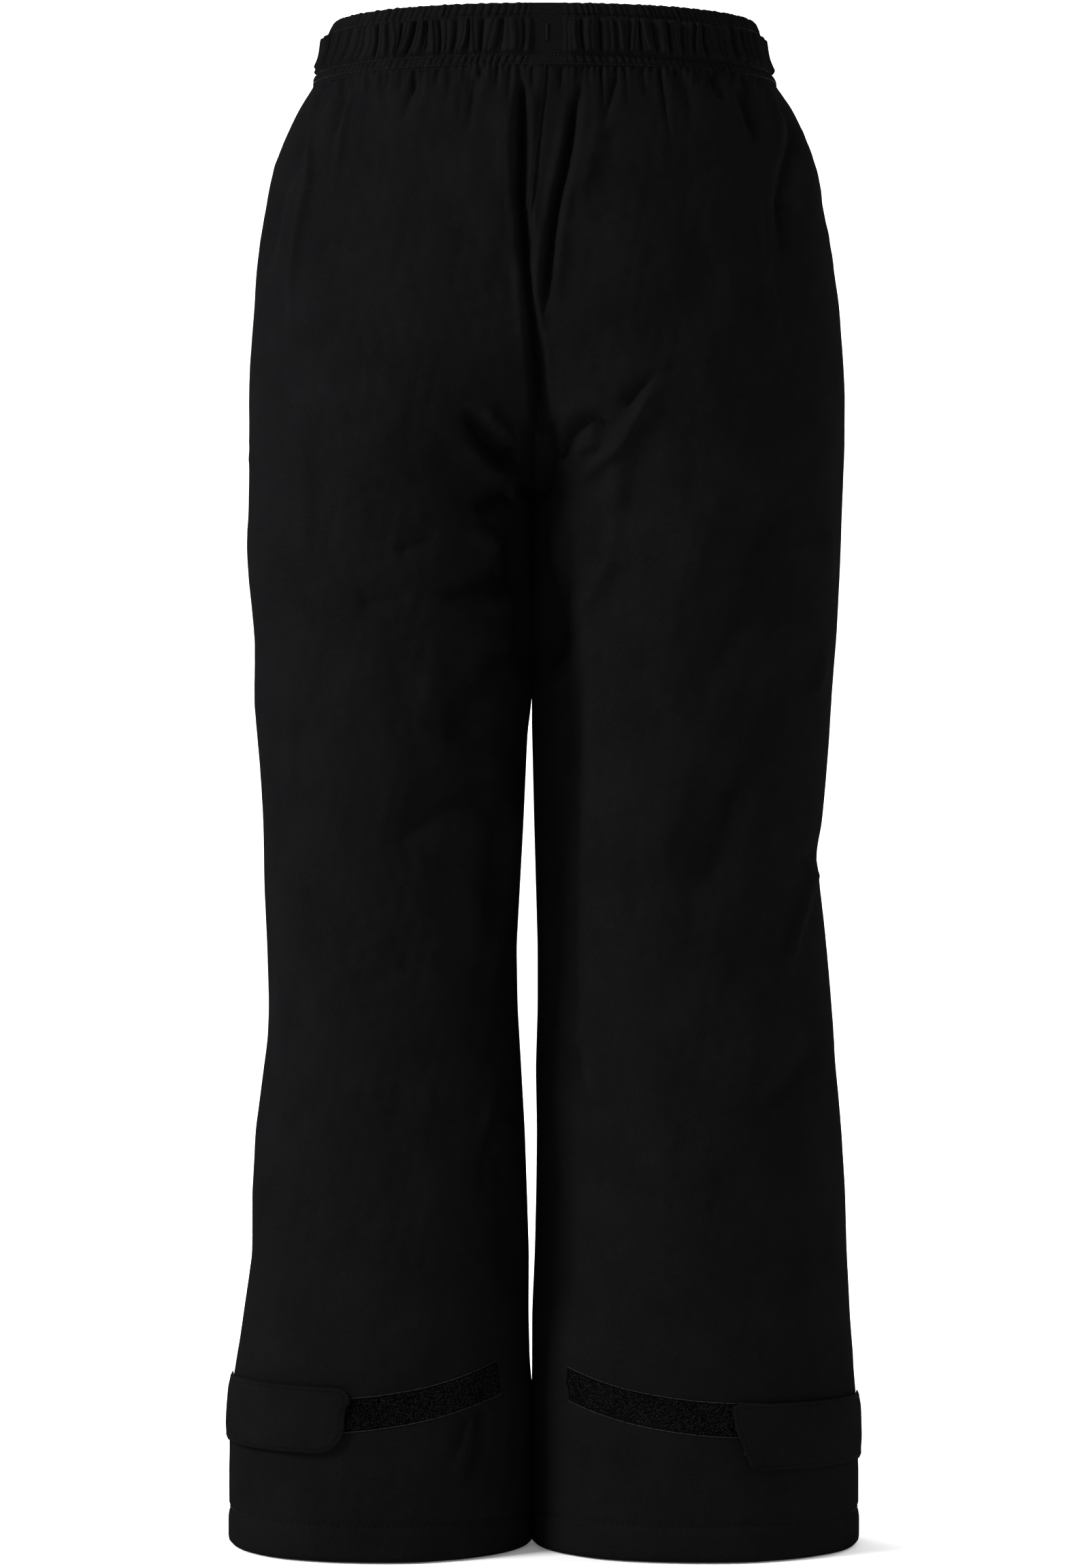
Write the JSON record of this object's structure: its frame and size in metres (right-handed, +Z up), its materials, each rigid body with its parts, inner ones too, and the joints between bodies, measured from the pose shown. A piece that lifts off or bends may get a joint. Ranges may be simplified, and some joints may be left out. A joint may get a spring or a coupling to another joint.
{
  "type": "ski pants",
  "caption": "Padded ski pants with a gathered elastic waist, zipped fly with snap flap, zipped hand pockets, ankle tabs over loop tape and inner snow gaiters.",
  "frame": {"origin": "middle of the footprint of the two hems, on the surface they stand on", "axes": "+Z up from the hems to the waistband, +Y to the wearer's front, +X to the wearer's right"},
  "size_m": [0.3529, 0.1946, 0.85],
  "materials": {
    "shell_cloth": "matte fine twill, near black",
    "lining_cloth": "matte plain weave, near black",
    "wadding": "matte white fibre wadding",
    "seam_tape_film": "satin film tape",
    "loop_tape": "matte soft loop pile",
    "hook_tape": "matte nylon hooks",
    "elastic": "matte ribbed elastic",
    "woven_tape": "matte woven tape",
    "zip_teeth": "satin moulded teeth",
    "dark_metal": "satin gunmetal",
    "label": "matte satin ribbon, blank"
  },
  "bodies": {
    "garment": {"front_panel_left": "shell_cloth", "front_panel_right": "shell_cloth", "back_panel_left": "shell_cloth", "back_panel_right": "shell_cloth", "padding_front_left": "wadding", "padding_front_right": "wadding", "padding_back_left": "wadding", "padding_back_right": "wadding", "lining_left": "lining_cloth", "lining_right": "lining_cloth", "waistband_left": "shell_cloth", "waistband_right": "shell_cloth", "waistband_facing": "lining_cloth", "waist_elastic": "elastic", "hem_left": "shell_cloth", "hem_right": "shell_cloth", "seam_tape_seat": "seam_tape_film", "seam_tape_front": "seam_tape_film", "seam_tape_side_left": "seam_tape_film", "seam_tape_side_right": "seam_tape_film", "seam_tape_inseam_left": "seam_tape_film", "seam_tape_inseam_right": "seam_tape_film", "loop_strip_left": "loop_tape", "loop_strip_right": "loop_tape", "gaiter_left": "lining_cloth", "gaiter_right": "lining_cloth", "gaiter_elastic_left": "elastic", "gaiter_elastic_right": "elastic", "fly_zip_tape": "woven_tape", "fly_zip_teeth": "zip_teeth", "fly_zip_stops": "dark_metal", "fly_shield": "shell_cloth", "flap_anchor": "shell_cloth", "snap_stud": "dark_metal", "snap_post": "dark_metal", "pocket_bag_left": "lining_cloth", "pocket_bag_right": "lining_cloth", "pocket_zip_left": "zip_teeth", "pocket_zip_right": "zip_teeth", "bartacks": "woven_tape", "hanger_loop": "woven_tape", "care_label": "label"},
    "ankle_tab_left_body": {"ankle_tab_left": "shell_cloth", "hook_patch_left": "hook_tape"},
    "ankle_tab_right_body": {"ankle_tab_right": "shell_cloth", "hook_patch_right": "hook_tape"},
    "waist_flap_body": {"waist_flap": "shell_cloth", "snap_cap": "dark_metal", "snap_socket": "dark_metal"},
    "fly_slider_body": {"fly_zip_slider": "dark_metal"},
    "fly_puller_body": {"fly_zip_puller": "dark_metal"},
    "pocket_slider_left_body": {"pocket_slider_left": "dark_metal"},
    "pocket_puller_left_body": {"pocket_puller_left": "dark_metal"},
    "pocket_slider_right_body": {"pocket_slider_right": "dark_metal"},
    "pocket_puller_right_body": {"pocket_puller_right": "dark_metal"}
  },
  "joints": [
    {"name": "ankle_tab_left_peel", "type": "hinge", "parent": "garment", "child": "ankle_tab_left_body", "pos_m": [-0.17554, 0.00679, 0.078], "axis": [0, 0, -1], "range_deg": [0, 160]},
    {"name": "ankle_tab_right_peel", "type": "hinge", "parent": "garment", "child": "ankle_tab_right_body", "pos_m": [0.17558, 0.00675, 0.069], "axis": [0, 0, 1], "range_deg": [0, 160]},
    {"name": "waist_flap_open", "type": "hinge", "parent": "garment", "child": "waist_flap_body", "pos_m": [-0.0217, 0.0951, 0.833], "axis": [0, 0, 1], "range_deg": [0, 120]},
    {"name": "fly_zip_slide", "type": "slide", "parent": "garment", "child": "fly_slider_body", "axis": [0, 0, -1], "range_m": [0, 0.135]},
    {"name": "fly_puller_swing", "type": "hinge", "parent": "fly_slider_body", "child": "fly_puller_body", "pos_m": [0.0003, 0.0934, 0.8103], "axis": [1, 0, 0], "range_deg": [0, 100]},
    {"name": "pocket_zip_left_slide", "type": "slide", "parent": "garment", "child": "pocket_slider_left_body", "axis": [-0.1246, -0.0098, -0.9922], "range_m": [0, 0.097]},
    {"name": "pocket_puller_left_swing", "type": "hinge", "parent": "pocket_slider_left_body", "child": "pocket_puller_left_body", "pos_m": [-0.13542, 0.04851, 0.76929], "axis": [0.6944, 0.7134, -0.0943], "range_deg": [0, 100]},
    {"name": "pocket_zip_right_slide", "type": "slide", "parent": "garment", "child": "pocket_slider_right_body", "axis": [0.1364, -0.0098, -0.9906], "range_m": [0, 0.097]},
    {"name": "pocket_puller_right_swing", "type": "hinge", "parent": "pocket_slider_right_body", "child": "pocket_puller_right_body", "pos_m": [0.1361, 0.04851, 0.76914], "axis": [0.6944, -0.7123, 0.1027], "range_deg": [0, 100]}
  ]
}
